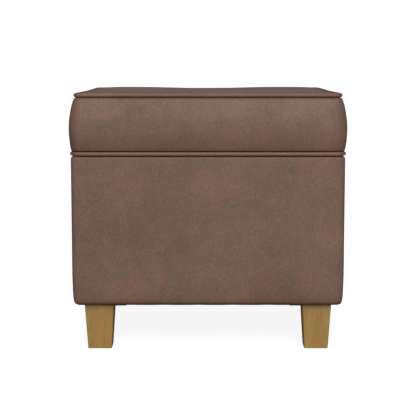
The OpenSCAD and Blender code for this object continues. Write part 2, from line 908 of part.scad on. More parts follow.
// Angle under the lid whose upright flange hangs beside the upper arm
module stay_lid_bracket(sx) {
    flange_x = store_half_w - lid_bracket_at;
    color(STEEL_COLOR) difference() {
        on_side(sx) {
            span([flange_x - lid_bracket_w, stay_lid_y - lid_bracket_l / 2, lid_z - bracket_t],
                 [flange_x, stay_lid_y + lid_bracket_l / 2, lid_z]);
            span([flange_x - bracket_t, stay_lid_y - arm_eye_r, stay_lid_z],
                 [flange_x, stay_lid_y + arm_eye_r, lid_z]);
            at_stay(stay_lid_y, stay_lid_z, lid_bracket_at) cylinder(r = arm_eye_r, h = bracket_t);
        }
        on_side(sx) at_stay(stay_lid_y, stay_lid_z, lid_bracket_at - overcut)
            cylinder(r = pivot_r + fit_gap, h = bracket_t + 2 * overcut);
        stay_lid_screw_set(fit_gap);
    }
}

module left_stay_lid_bracket() {
    stay_lid_bracket(LEFT);
}

module right_stay_lid_bracket() {
    stay_lid_bracket(RIGHT);
}

// Pins of the lower arms, fixed in the box brackets
module stay_box_pivots() {
    color(STEEL_COLOR) for (sx = [LEFT, RIGHT]) on_side(sx) {
        at_stay(stay_box_y, stay_box_z, 0) cylinder(r = pivot_r, h = lower_arm_at + arm_step + head_t);
        at_stay(stay_box_y, stay_box_z, lower_arm_at + arm_step) cylinder(r = pivot_head_r, h = head_t);
    }
}

// Pins of the lid brackets, which the upper arms' larger holes turn on
module stay_lid_pivots() {
    color(STEEL_COLOR) for (sx = [LEFT, RIGHT]) on_side(sx) {
        at_stay(stay_lid_y, stay_lid_z, upper_arm_at - side_gap - head_t)
            cylinder(r = pivot_head_r, h = head_t);
        at_stay(stay_lid_y, stay_lid_z, upper_arm_at - side_gap - head_t)
            cylinder(r = pivot_r, h = head_t + side_gap + arm_step + bracket_t + head_t);
        at_stay(stay_lid_y, stay_lid_z, lid_bracket_at + bracket_t) cylinder(r = pivot_head_r, h = head_t);
    }
}

module stay_box_screw_set(gap) {
    for (sx = [LEFT, RIGHT], s = [-1, 1]) on_side(sx)
        translate([store_half_w - bracket_t, stay_box_y, stay_box_z + s * bracket_screw_z])
            rotate([0, 90, 0]) screw(small_screw_r, screw_head_r, screw_head_t, small_screw_l, gap);
}

module stay_lid_screw_set(gap) {
    for (sx = [LEFT, RIGHT], s = [-1, 1]) on_side(sx)
        translate([store_half_w - lid_bracket_at - lid_bracket_screw_x, stay_lid_y + s * lid_bracket_screw_y,
                   lid_z - bracket_t])
            screw(small_screw_r, screw_head_r, screw_head_t, small_screw_l, gap);
}

module stay_box_screws() {
    color(STEEL_COLOR) stay_box_screw_set(0);
}

module stay_lid_screws() {
    color(STEEL_COLOR) stay_lid_screw_set(0);
}

front_panel();
rear_panel();
left_panel();
right_panel();
floor_panel();
front_left_block();
front_right_block();
rear_left_block();
rear_right_block();
front_padding();
rear_padding();
left_padding();
right_padding();
body_cover();
front_lining();
rear_lining();
left_lining();
right_lining();
floor_lining();
dust_cover();
dust_cover_staples();
front_left_leg();
front_right_leg();
rear_left_leg();
rear_right_leg();
leg_bolts();
leg_nuts();
foot_glides();
panel_screws();
rim_bumpers();
lid_board();
lid_foam();
lid_wadding();
lid_boxing();
lid_top_cover();
lower_welt();
upper_welt();
lid_lining();
left_hinge_box_leaf();
right_hinge_box_leaf();
left_hinge_lid_leaf();
right_hinge_lid_leaf();
hinge_pins();
hinge_box_screws();
hinge_lid_screws();
left_stay_box_bracket();
right_stay_box_bracket();
left_stay_lower_arm();
right_stay_lower_arm();
left_stay_elbow_rivet();
right_stay_elbow_rivet();
left_stay_upper_arm();
right_stay_upper_arm();
left_stay_lid_bracket();
right_stay_lid_bracket();
stay_box_pivots();
stay_lid_pivots();
stay_box_screws();
stay_lid_screws();
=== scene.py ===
import math

import bmesh
import bpy
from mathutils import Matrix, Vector, noise


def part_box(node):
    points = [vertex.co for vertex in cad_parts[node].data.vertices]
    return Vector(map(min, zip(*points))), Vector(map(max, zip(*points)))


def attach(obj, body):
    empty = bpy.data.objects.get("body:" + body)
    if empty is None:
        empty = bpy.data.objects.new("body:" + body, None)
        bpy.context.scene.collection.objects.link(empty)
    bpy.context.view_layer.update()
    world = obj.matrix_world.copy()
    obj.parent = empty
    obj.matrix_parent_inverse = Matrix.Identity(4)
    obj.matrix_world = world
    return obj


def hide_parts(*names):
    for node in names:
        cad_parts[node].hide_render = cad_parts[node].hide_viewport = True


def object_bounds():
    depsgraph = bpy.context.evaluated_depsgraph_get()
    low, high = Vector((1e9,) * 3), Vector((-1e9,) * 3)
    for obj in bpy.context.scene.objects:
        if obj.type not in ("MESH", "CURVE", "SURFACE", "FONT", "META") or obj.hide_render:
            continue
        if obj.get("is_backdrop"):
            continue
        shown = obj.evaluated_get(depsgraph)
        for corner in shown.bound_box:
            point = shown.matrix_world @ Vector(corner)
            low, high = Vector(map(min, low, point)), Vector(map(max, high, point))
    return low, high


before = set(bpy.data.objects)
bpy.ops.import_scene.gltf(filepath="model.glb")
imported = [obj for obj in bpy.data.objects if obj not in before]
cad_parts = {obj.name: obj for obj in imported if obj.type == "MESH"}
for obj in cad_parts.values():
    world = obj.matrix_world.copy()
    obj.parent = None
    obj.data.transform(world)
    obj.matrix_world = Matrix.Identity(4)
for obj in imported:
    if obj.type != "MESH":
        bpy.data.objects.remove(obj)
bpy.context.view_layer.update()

MM = 0.001

# ---- Camera ----
# One camera faces the front of the ottoman from a little above the lid, far enough back that the sides
# stay nearly upright.
camera = bpy.data.objects.new("camera", bpy.data.cameras.new("camera"))
bpy.context.collection.objects.link(camera)
camera.data.lens = 103.93
camera.location = (0, -2.2295, 0.4827)
camera.rotation_euler = (math.radians(90 - 6.74), 0, 0)
bpy.context.scene.camera = camera


# ---- Studio ----
# A white painted floor under a wide soft light from the front and above and a weaker one from low
# behind, with a dimmer white room around them.
def srgb(red, green, blue):
    """A colour of 0 to 255 as a paint chart gives it, ready for a shader."""
    parts = [c / 255 for c in (red, green, blue)]
    return (*[p / 12.92 if p <= 0.04045 else ((p + 0.055) / 1.055) ** 2.4 for p in parts], 1)


def add_node(tree, kind, sockets=None, **settings):
    """Adds a node, gives it its settings, and fills or links the sockets that are named."""
    node = tree.nodes.new(kind)
    for key, value in settings.items():
        setattr(node, key, value)
    for key, value in (sockets or {}).items():
        if isinstance(value, bpy.types.NodeSocket):
            tree.links.new(value, node.inputs[key])
        else:
            node.inputs[key].default_value = value
    return node


def start_finish(name, **shader_values):
    """A material with its shader's steady values set, and the piece's own coordinates to hang patterns on."""
    finish = bpy.data.materials.new(name)
    finish.use_nodes = True
    tree = finish.node_tree
    shader = tree.nodes["Principled BSDF"]
    for key, value in shader_values.items():
        shader.inputs[key.replace("_", " ")].default_value = value
    place = add_node(tree, "ShaderNodeTexCoord").outputs["Object"]
    return finish, tree, shader, place


def stretched(tree, place, scale):
    """The coordinates drawn out or packed along each axis."""
    return add_node(tree, "ShaderNodeMapping", {"Vector": place, "Scale": scale}).outputs["Vector"]


def cloudy(tree, place, scale, detail=2.0, roughness=0.5, distortion=0.0):
    """A soft irregular pattern with this many clouds a metre, from 0 to 1."""
    return add_node(tree, "ShaderNodeTexNoise", {
        "Vector": place, "Scale": scale, "Detail": detail, "Roughness": roughness, "Distortion": distortion,
    }).outputs["Fac"]


def ramp(tree, factor, *stops):
    """Colours along a factor, from (place, colour) pairs."""
    node = add_node(tree, "ShaderNodeValToRGB", {"Fac": factor})
    elements = node.color_ramp.elements
    while len(elements) < len(stops):
        elements.new(1)
    for element, (place, colour) in zip(elements, stops):
        element.position, element.color = place, colour
    return node.outputs["Color"]


def spread(tree, value, low, high, to_low, to_high):
    """Brings a value from one range to another, and stops at its ends."""
    return add_node(tree, "ShaderNodeMapRange", {
        "Value": value, "From Min": low, "From Max": high, "To Min": to_low, "To Max": to_high,
    }).outputs["Result"]


def blended(tree, factor, first, second, how="MIX"):
    """Two colours mixed by a factor."""
    node = add_node(tree, "ShaderNodeMix", {0: factor, 6: first, 7: second}, data_type="RGBA", blend_type=how)
    return node.outputs[2]


def sums(tree, *weighted):
    """A weighted sum of values, from (value, weight) pairs."""
    total = 0.0
    for value, weight in weighted:
        total = add_node(tree, "ShaderNodeMath", {0: value, 1: weight, 2: total},
                         operation="MULTIPLY_ADD").outputs[0]
    return total


def raise_surface(tree, shader, height, depth):
    """Raises a pattern on the surface, this deep in metres."""
    bump = add_node(tree, "ShaderNodeBump", {"Height": height, "Strength": 1.0, "Distance": depth})
    tree.links.new(bump.outputs["Normal"], shader.inputs["Normal"])


floor_paint, tree, shader, place = start_finish("floor_paint", Roughness=0.9, Emission_Color=(1, 1, 1, 1))
tree.links.new(
    ramp(tree, cloudy(tree, place, 1.5), (0, srgb(130, 130, 129)), (1, srgb(134, 134, 133))),
    shader.inputs["Base Color"],
)
seen = add_node(tree, "ShaderNodeLightPath").outputs["Is Camera Ray"]
tree.links.new(sums(tree, (seen, 0.88)), shader.inputs["Emission Strength"])
bm = bmesh.new()
bmesh.ops.create_grid(bm, x_segments=2, y_segments=2, size=60)
floor = bpy.data.objects.new("studio_floor", bpy.data.meshes.new("studio_floor"))
bm.to_mesh(floor.data)
bm.free()
floor.data.materials.append(floor_paint)
bpy.context.collection.objects.link(floor)
floor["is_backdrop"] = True

for name, energy, size, tilt, turn, gloss in (
        ("key_light", 2.62, 40, 61, 5, True), ("rear_light", 0.95, 30, -68, -8, False)):
    light = bpy.data.objects.new(name, bpy.data.lights.new(name, "SUN"))
    light.data.energy = energy
    light.data.angle = math.radians(size)
    light.rotation_euler = (math.radians(tilt), 0, math.radians(turn))
    light.visible_glossy = gloss
    bpy.context.collection.objects.link(light)

room = bpy.data.worlds.new("studio_room")
bpy.context.scene.world = room
room.use_nodes = True
tree = room.node_tree
way = add_node(tree, "ShaderNodeSeparateXYZ", {0: add_node(tree, "ShaderNodeTexCoord").outputs["Generated"]})
fill = spread(tree, way.outputs["Y"], -0.8, 0.8, 0.40, 0.26)
dim = add_node(tree, "ShaderNodeBackground", {"Color": (1, 1, 1, 1), "Strength": fill})
bright = add_node(tree, "ShaderNodeBackground", {"Color": (1, 1, 1, 1), "Strength": 1.0})
seen = add_node(tree, "ShaderNodeLightPath").outputs["Is Camera Ray"]
both = add_node(tree, "ShaderNodeMixShader", {0: seen, 1: dim.outputs[0], 2: bright.outputs[0]})
tree.links.new(both.outputs[0], tree.nodes["World Output"].inputs["Surface"])
bpy.context.scene.view_settings.view_transform = "Standard"


# ---- Box panels, floor panel and leg blocks ----
# Birch plywood boards, sawn to size. The front and rear boards are screwed on to the ends of the side
# boards, and the floor board lies on a glued block in each corner.
def cover_node(finish, *names):
    """Gives CAD nodes their finish."""
    for name in names:
        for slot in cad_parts[name].material_slots:
            slot.material = finish


def plywood(name, grain, layers):
    """Birch plywood. grain packs the coordinates across the grain; layers is the axis that the veneers lie across."""
    finish, tree, shader, place = start_finish(name, Roughness=0.62)
    lines = cloudy(tree, stretched(tree, place, grain), 30, 4, 0.6, 0.4)
    face = ramp(tree, lines, (0.3, srgb(196, 160, 112)), (0.55, srgb(222, 192, 148)), (0.8, srgb(232, 206, 166)))
    veneer = add_node(tree, "ShaderNodeSeparateXYZ", {0: place}).outputs[layers]
    band = add_node(tree, "ShaderNodeMath", {0: veneer, 1: 3.0 * MM}, operation="PINGPONG").outputs[0]
    edge = ramp(tree, spread(tree, band, 1.2 * MM, 1.8 * MM, 0, 1), (0, (1, 1, 1, 1)), (1, srgb(205, 190, 170)))
    tree.links.new(blended(tree, 0.6, face, edge, "MULTIPLY"), shader.inputs["Base Color"])
    raise_surface(tree, shader, lines, 0.15 * MM)
    return finish


upright_across_y = plywood("birch_plywood_front", (6, 6, 1), 1)
cover_node(upright_across_y, "front_panel", "rear_panel")
upright_across_x = plywood("birch_plywood_side", (6, 6, 1), 0)
cover_node(upright_across_x, "left_panel", "right_panel")
flat_board = plywood("birch_plywood_flat", (1, 6, 6), 2)
cover_node(flat_board, "floor_panel", "front_left_block", "front_right_block", "rear_left_block",
           "rear_right_block")

# ---- Wood screws, leg bolts and tee nuts ----
# Zinc-plated steel: countersunk screws through the boards, a hanger bolt up from each leg, and a tee nut
# hammered into the floor board above it.
zinc, tree, shader, place = start_finish("zinc_plate", Metallic=1.0)
spangle = cloudy(tree, place, 260, 3, 0.6)
tree.links.new(
    ramp(tree, spangle, (0.25, srgb(168, 170, 174)), (0.5, srgb(196, 197, 198)), (0.8, srgb(212, 210, 204))),
    shader.inputs["Base Color"],
)
tree.links.new(spread(tree, spangle, 0.2, 0.8, 0.26, 0.46), shader.inputs["Roughness"])
raise_surface(tree, shader, cloudy(tree, place, 1400, 2), 0.02 * MM)
cover_node(zinc, "panel_screws", "leg_bolts", "leg_nuts")

# ---- Wall padding ----
# Sheets of cream upholstery foam, 5 mm thick, glued to the outside of the four boards. The rear one is
# cut out around the hinges.
foam_finish, tree, shader, place = start_finish("cream_foam", Roughness=0.95)
pores = add_node(tree, "ShaderNodeTexVoronoi", {"Vector": place, "Scale": 900}).outputs["Distance"]
tree.links.new(
    ramp(tree, sums(tree, (pores, 0.7), (cloudy(tree, place, 60), 0.3)),
         (0.1, srgb(198, 186, 146)), (0.5, srgb(236, 227, 196)), (0.9, srgb(243, 236, 210))),
    shader.inputs["Base Color"],
)
raise_surface(tree, shader, pores, 0.5 * MM)


def make_piece(bm, name, finish, body):
    """Turns a finished bmesh into a smooth piece that rides on a body."""
    mesh = bpy.data.meshes.new(name)
    bm.to_mesh(mesh)
    bm.free()
    mesh.materials.append(finish)
    mesh.shade_smooth()
    piece = bpy.data.objects.new(name, mesh)
    bpy.context.collection.objects.link(piece)
    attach(piece, body)
    return piece


body_low, body_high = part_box("body_cover")
BODY_HALF = body_high.x
BODY_CORNER = 8 * MM
BODY_FULLER = 1.6 * MM
FOAM_GAP = 1.35 * MM
EDGE_STARTS, EDGE_FULL = BODY_HALF - 5.6 * MM, BODY_HALF - 2.4 * MM
PRESS_HEIGHTS = (84.4, 86, 88, 91, 95, 100, 108, 118, 326, 328, 329.5, 330.6)
COVER_T = 1 * MM
WALL_FOOT = 0.130
rim, underside = body_high.z, body_low.z
rim_curve = [(4 * MM * (1 - math.sin(a)), rim - 4 * MM * (1 - math.cos(a)))
             for a in [math.radians(22.5 * i) for i in range(5)]]
wall_heights = [rim - 7 * MM - (rim - 7 * MM - WALL_FOOT) * i / 18 for i in range(19)]
body_rows = [(17 * MM, rim), (11 * MM, rim), (7 * MM, rim), *rim_curve]
body_rows += [(-0.1 * MM, z) for z in wall_heights]
body_rows += [(i * MM, z * MM) for i, z in (
    (0.1, 124), (0.3, 115), (0.6, 105), (1.0, 96), (1.5, 90.5), (2.2, 86.5), (2.9, 83.9), (3.8, 81.9), (5.0, 80.6),
    (6.8, 79.95), (9, 79.85), (12, 79.85), (16, 79.85), (22, 79.85), (29.5, 79.85))]


def cover_inset(z):
    """How far the face of the cover is set in at a height on the wall."""
    for (inset, above), (next_inset, below) in zip(body_rows, body_rows[1:]):
        if below <= z <= above and above > below:
            return inset + (next_inset - inset) * (above - z) / (above - below)
    return 0.0


def press_in(bm, gap):
    """Presses a foam sheet back until it lies this far behind the face of the cover."""
    for z in PRESS_HEIGHTS:
        bmesh.ops.bisect_plane(bm, geom=[*bm.verts, *bm.edges, *bm.faces], plane_co=(0, 0, z * MM),
                               plane_no=(0, 0, 1), dist=0.001 * MM)
    core = BODY_HALF - BODY_CORNER
    for v in bm.verts:
        v.co.z = max(min(v.co.z, rim - 1.6 * MM), underside + 3.6 * MM)
        past = Vector((max(abs(v.co.x) - core, 0), max(abs(v.co.y) - core, 0)))
        room = BODY_CORNER - cover_inset(v.co.z) - gap
        if past.length > room:
            past *= room / past.length
            if abs(v.co.x) > core:
                v.co.x = math.copysign(core + past.x, v.co.x)
            if abs(v.co.y) > core:
                v.co.y = math.copysign(core + past.y, v.co.y)
    bmesh.ops.triangulate(bm, faces=bm.faces)


def eased(value, low, high):
    """A smooth step from 0 at low to 1 at high."""
    t = max(0.0, min(1.0, (value - low) / (high - low)))
    return t * t * (3 - 2 * t)


def fill_out(bm, by, start, full):
    """Moves the front and the sides out by this much. The rear stays flat, so that the lid can swing."""
    for v in bm.verts:
        v.co.x += math.copysign(by, v.co.x) * eased(abs(v.co.x), start, full)
        v.co.y -= by * eased(-v.co.y, start, full)


def eased_copy(node, edge):
    """A welded copy of a CAD node with its square edges eased."""
    bm = bmesh.new()
    bm.from_mesh(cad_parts[node].data)
    bmesh.ops.remove_doubles(bm, verts=bm.verts, dist=0.01 * MM)
    bmesh.ops.dissolve_limit(bm, angle_limit=math.radians(2), verts=bm.verts, edges=bm.edges)
    square = [e for e in bm.edges if e.is_manifold and e.calc_face_angle(0) > math.radians(50)]
    bmesh.ops.bevel(bm, geom=square, offset=edge, offset_type="OFFSET", affect="EDGES", segments=2, profile=0.5,
                    material=-1, clamp_overlap=True)
    return bm


for side in ("front", "rear", "left", "right"):
    bm = eased_copy(f"{side}_padding", 0.8 * MM)
    press_in(bm, FOAM_GAP)
    fill_out(bm, BODY_FULLER, EDGE_STARTS, EDGE_FULL)
    pad = make_piece(bm, f"{side}_foam_sheet", foam_finish, "box")
    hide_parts(f"{side}_padding")

# ---- Body cover ----
# Distressed brown faux leather, 1 mm thick: one strip around the box with its ends sewn behind, turned
# over the rim and under the frame, pulled tight and stapled there.


def leather_finish():
    """Brown faux leather: faint clouds of red, olive and plum brown, a crinkled grain, painted shade at the seams and
    edges, and welts paler from wear and a painted highlight.
    """
    finish, tree, shader, place = start_finish("brown_faux_leather", Specular_IOR_Level=0.38)
    clouds = cloudy(tree, place, 24, 5, 0.62, 0.3)
    shifted = add_node(tree, "ShaderNodeMapping", {"Vector": place, "Location": (3.1, 1.7, 5.3)}).outputs[0]
    plum = cloudy(tree, shifted, 15, 4, 0.6, 0.2)
    broad = cloudy(tree, shifted, 9, 3, 0.55)
    wrinkles = cloudy(tree, stretched(tree, place, (110, 110, 60)), 1, 4, 0.65, 1.2)
    fine = cloudy(tree, place, 420, 3, 0.7)
    tone = ramp(tree, clouds, (0.34, srgb(103, 82, 67)), (0.50, srgb(106, 81, 66)), (0.66, srgb(111, 80, 65)))
    tone = blended(tree, spread(tree, plum, 0.48, 0.7, 0, 0.7), tone, srgb(101, 79, 71))
    light = sums(tree, (broad, 0.5), (clouds, 0.2), (wrinkles, 0.3))
    light = ramp(tree, light, (0.36, (0.80, 0.80, 0.80, 1)), (0.5, (1, 1, 1, 1)), (0.64, (1.20, 1.20, 1.20, 1)))
    tone = blended(tree, 1.0, tone, light, "MULTIPLY")
    grain = ramp(tree, fine, (0.3, (0.85, 0.84, 0.83, 1)), (0.5, (1, 1, 1, 1)), (0.7, (1.16, 1.16, 1.16, 1)))
    tone = blended(tree, 1.0, tone, grain, "MULTIPLY")
    warped = sums(tree, (fine, 0.003), (wrinkles, 0.012))
    pebble_place = add_node(tree, "ShaderNodeVectorMath", {0: place, 1: warped}, operation="ADD").outputs[0]
    creases = add_node(tree, "ShaderNodeTexVoronoi", {"Vector": pebble_place, "Scale": 150},
                       feature="DISTANCE_TO_EDGE").outputs["Distance"]
    creases = spread(tree, creases, 0, 0.16, 0, 1)
    crinkle = ramp(tree, creases, (0, (0.87, 0.86, 0.85, 1)), (0.5, (1.02, 1.02, 1.02, 1)),
                   (1, (1.04, 1.04, 1.04, 1)))
    tone = blended(tree, 1.0, tone, crinkle, "MULTIPLY")
    # The welts' raised line is painted paler: partly wear, partly a painted highlight.
    rub_and_highlight = add_node(tree, "ShaderNodeAttribute", attribute_name="rub_and_highlight").outputs["Fac"]
    tone = blended(tree, rub_and_highlight, tone, srgb(126, 96, 81))
    # Painted shade: darker in the seams, over the box's corners and foot, under its rim and down the lid's lower
    # band.
    painted_shade = add_node(tree, "ShaderNodeAttribute", attribute_name="painted_shade").outputs["Fac"]
    tone = blended(tree, painted_shade, tone, srgb(94, 56, 41))
    tree.links.new(tone, shader.inputs["Base Color"])
    tree.links.new(spread(tree, sums(tree, (fine, 0.5), (clouds, 0.5)), 0.3, 0.7, 0.66, 0.5),
                   shader.inputs["Roughness"])
    pebbles = add_node(tree, "ShaderNodeTexVoronoi", {"Vector": pebble_place, "Scale": 620},
                       feature="SMOOTH_F1").outputs["Distance"]
    raise_surface(tree, shader, sums(tree, (pebbles, -0.5), (creases, 0.22), (fine, 0.3), (wrinkles, 0.9)), 0.32 * MM)
    return finish


leather = leather_finish()


def rounded_net(half, corner, cells, corner_cells):
    """A level net of quads with rounded corners. Each point keeps its first place as its home."""
    core = half - corner
    stops = [-half + corner * i / corner_cells for i in range(corner_cells)]
    stops += [-core + 2 * core * i / cells for i in range(cells + 1)]
    stops += [core + corner * (i + 1) / corner_cells for i in range(corner_cells)]
    count = len(stops) - 1
    bm = bmesh.new()
    bmesh.ops.create_grid(bm, x_segments=count, y_segments=count, size=0.5)
    home = bm.verts.layers.float_vector.new("home")
    for v in bm.verts:
        at = Vector((stops[round((v.co.x + 0.5) * count)], stops[round((v.co.y + 0.5) * count)], 0))
        past_x, past_y = abs(at.x) - core, abs(at.y) - core
        if past_x > 0 and past_y > 0:
            share = max(past_x, past_y) / math.hypot(past_x, past_y)
            at.x = math.copysign(core + past_x * share, at.x)
            at.y = math.copysign(core + past_y * share, at.y)
        v[home] = at
    return bm


def drawn_in(at, half, corner, inset):
    """Where a home point lies in plan when its outline is set in by a distance."""
    core = half - corner
    new_corner = max(corner - inset, 0.6 * MM)
    new_core = half - inset - new_corner

    def along(t):
        past = abs(t) - core
        return math.copysign(new_core + past * new_corner / corner, t) if past > 0 else t * new_core / core

    return along(at.x), along(at.y)


def facing(at, half, corner):
    """The level direction out of the outline at a home point."""
    core = half - corner
    out = Vector((math.copysign(max(abs(at.x) - core, 0), at.x), math.copysign(max(abs(at.y) - core, 0), at.y), 0))
    return out.normalized() if out.length > 0 else Vector((0, 0, 1))


def pull_rows(bm, half, corner, rows, rise=None):
    """Carries the net's edge on through rows of (inset, height). rise lifts a point by its home."""
    home = bm.verts.layers.float_vector["home"]
    edges = [e for e in bm.edges if e.is_boundary]
    for inset, height in rows:
        made = bmesh.ops.extrude_edge_only(bm, edges=edges)["geom"]
        new = {g for g in made if isinstance(g, bmesh.types.BMVert)}
        for v in new:
            x, y = drawn_in(v[home], half, corner, inset)
            v.co = (x, y, height + (rise(v[home]) if rise else 0))
        edges = [g for g in made if isinstance(g, bmesh.types.BMEdge) and g.verts[0] in new and g.verts[1] in new]
    return edges


def lay_net(bm, half, corner, inset, height):
    """Sets the net itself to an inset, at a height that may be a function of its home."""
    home = bm.verts.layers.float_vector["home"]
    for v in bm.verts:
        x, y = drawn_in(v[home], half, corner, inset)
        v.co = (x, y, height(x, y) if callable(height) else height)


def paint(bm, name, share):
    """Writes a value from 0 to 1 on each point for the finish to read."""
    layer = bm.verts.layers.float.new(name)
    for v in bm.verts:
        v[layer] = max(0.0, min(1.0, share(v)))


def give_thickness(piece, thickness, levels):
    """Rounds the mesh and gives it the thickness of its material, inwards."""
    if levels:
        smooth = piece.modifiers.new("rounding", "SUBSURF")
        smooth.levels = smooth.render_levels = levels
    shell = piece.modifiers.new("thickness", "SOLIDIFY")
    shell.thickness = thickness
    shell.offset = -1


RIM_INSET = 21 * MM
RIM_FACE, RIM_EDGE = 0.221, 0.224
bm = rounded_net(BODY_HALF, BODY_CORNER, 36, 4)
lay_net(bm, BODY_HALF, BODY_CORNER, RIM_INSET, rim)
net_faces = list(bm.faces)
pull_rows(bm, BODY_HALF, BODY_CORNER, body_rows)
bmesh.ops.recalc_face_normals(bm, faces=bm.faces)
bmesh.ops.delete(bm, geom=net_faces, context="FACES")

hinge_low, hinge_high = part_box("right_hinge_box_leaf")
notch_low = hinge_high.z - 3.9 * MM - (hinge_high.z - hinge_low.z - 32 * MM)
notch_x = [hinge_low.x - 1.3 * MM, hinge_high.x + 1.3 * MM]
frame_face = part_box("rear_panel")[1].y
for point, normal in [((s * x, 0, 0), (1, 0, 0)) for s in (-1, 1) for x in notch_x] + [
        ((0, 0, notch_low), (0, 0, 1)), ((0, frame_face, 0), (0, 1, 0))]:
    near = list({g for f in bm.faces if f.calc_center_median().y > frame_face - 16 * MM and
                 f.calc_center_median().z > notch_low - 14 * MM for g in [f, *f.edges, *f.verts]})
    bmesh.ops.bisect_plane(bm, geom=near, plane_co=point, plane_no=normal, dist=0.001 * MM)
open_faces = []
for f in bm.faces:
    c = f.calc_center_median()
    if c.z > notch_low and c.y > frame_face and notch_x[0] < abs(c.x) < notch_x[1]:
        open_faces.append(f)
bmesh.ops.delete(bm, geom=open_faces, context="FACES")

home = bm.verts.layers.float_vector["home"]
for v in bm.verts:
    if v.co.z < rim - 4 * MM and v.co.z > underside + 1 * MM:
        out = facing(v[home], BODY_HALF, BODY_CORNER)
        level = eased(v.co.z, underside, underside + 45 * MM) * eased(rim - v.co.z, 0, 30 * MM)
        side = min(eased(BODY_HALF - min(abs(v.co.x), abs(v.co.y)), 4 * MM, 60 * MM), 1)
        soft = 0.5 + 0.5 * noise.noise(v.co * 9 + Vector((4, 0, 2)))
        ripple = noise.noise(Vector((v.co.x * 16, v.co.y * 16, v.co.z * 7)))
        v.co += out * (level * side * (0.55 * soft + 0.28 * ripple)) * MM
    if v.co.y > frame_face and abs(v.co.x) < 4 * MM:
        v.co.y -= 0.9 * MM * (1 - eased(abs(v.co.x), 0.4 * MM, 3.4 * MM))
# Painted shade: darker over the rounded vertical corners, along the rounded foot that faces the floor, and just under
# the rim where the lid's lower welt shades it.
paint(bm, "painted_shade", lambda v: max(
    0.3 * eased(min(abs(v.co.x), abs(v.co.y)), BODY_HALF - 9 * MM, BODY_HALF - 2 * MM),
    0.9 * (1 - eased(v.co.z, underside + 2 * MM, underside + 8 * MM)),
    0.8 * eased(v.co.z, rim - 3.2 * MM, rim - 1 * MM) * eased(max(abs(v.co.x), abs(v.co.y)), RIM_FACE, RIM_EDGE)))
fill_out(bm, BODY_FULLER, EDGE_STARTS, EDGE_FULL)
body_cover = make_piece(bm, "body_leather_cover", leather, "box")
give_thickness(body_cover, COVER_T, 1)
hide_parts("body_cover")

# ---- Linings of the box ----
# Black cotton lining, glued to the inside of the boards, with a folded hem along the top edge of each
# wall and a loose-laid sheet on the floor.
def cloth_finish(name, dark, light, threads):
    """Black cloth woven with this many threads a metre."""
    finish, tree, shader, place = start_finish(name, Roughness=0.92, Sheen_Weight=0.25, Sheen_Roughness=0.5)
    parts = add_node(tree, "ShaderNodeSeparateXYZ", {0: place})
    waves = [add_node(tree, "ShaderNodeMath", {0: sums(tree, (parts.outputs[k], threads * math.tau))},
                      operation="SINE").outputs[0] for k in range(3)]
    weave = sums(tree, *[(w, 0.22) for w in waves], (cloudy(tree, place, 700, 2), 0.5))
    tree.links.new(ramp(tree, sums(tree, (weave, 0.6), (cloudy(tree, place, 14, 3), 0.5)), (0.1, dark), (0.7, light)),
                   shader.inputs["Base Color"])
    raise_surface(tree, shader, weave, 0.25 * MM)
    return finish


lining_cloth = cloth_finish("black_lining_cloth", srgb(22, 21, 22), srgb(46, 44, 45), 900)


def hung_cloth(name, low, high, face, inward, hem, seed, cells=64):
    """A sheet of cloth on the face of a wall: face is the axis it looks along, inward the way it faces."""
    across = [k for k in range(3) if k != face]
    bm = bmesh.new()
    bmesh.ops.create_grid(bm, x_segments=cells, y_segments=cells, size=0.5)
    middle, size = (low + high) / 2, high - low
    for v in bm.verts:
        at = Vector((0, 0, 0))
        at[across[0]] = middle[across[0]] + v.co.x * size[across[0]]
        at[across[1]] = middle[across[1]] + v.co.y * size[across[1]]
        edge = min(0.5 - abs(v.co.x), 0.5 - abs(v.co.y))
        soft = eased(edge, 0, 0.08)
        stand = 0.5 * soft * (0.5 + noise.noise(at * 11 + Vector((seed, 0, 0)))) * MM
        stand += 0.35 * eased(edge, 0, 0.03) * noise.noise(at * 60 + Vector((0, seed, 0))) * MM
        if hem and at.z > high.z - 14 * MM:
            stand += 0.5 * MM * eased(high.z - at.z, 14 * MM, 12.5 * MM)
        at[face] = (low[face] if inward > 0 else high[face]) + inward * (size[face] * 0.85 + max(stand, 0))
        v.co = at
    bmesh.ops.recalc_face_normals(bm, faces=bm.faces)
    for f in bm.faces:
        f.normal_update()
    if bm.faces and next(iter(bm.faces)).normal[face] * inward < 0:
        bmesh.ops.reverse_faces(bm, faces=bm.faces)
    return bm


walls = (("front", 1, 1), ("rear", 1, -1), ("left", 0, 1), ("right", 0, -1))
for seed, (side, face, inward) in enumerate(walls):
    low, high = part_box(f"{side}_lining")
    bm = hung_cloth(f"{side}_lining_cloth", low, high, face, inward, True, seed * 7.3)
    cloth = make_piece(bm, f"{side}_lining_cloth", lining_cloth, "box")
    give_thickness(cloth, 0.7 * MM, 0)
    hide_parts(f"{side}_lining")
low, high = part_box("floor_lining")
bm = hung_cloth("floor_lining_cloth", low, high, 2, 1, False, 31.0)
floor_cloth = make_piece(bm, "floor_lining_cloth", lining_cloth, "box")
give_thickness(floor_cloth, 0.7 * MM, 0)
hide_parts("floor_lining")

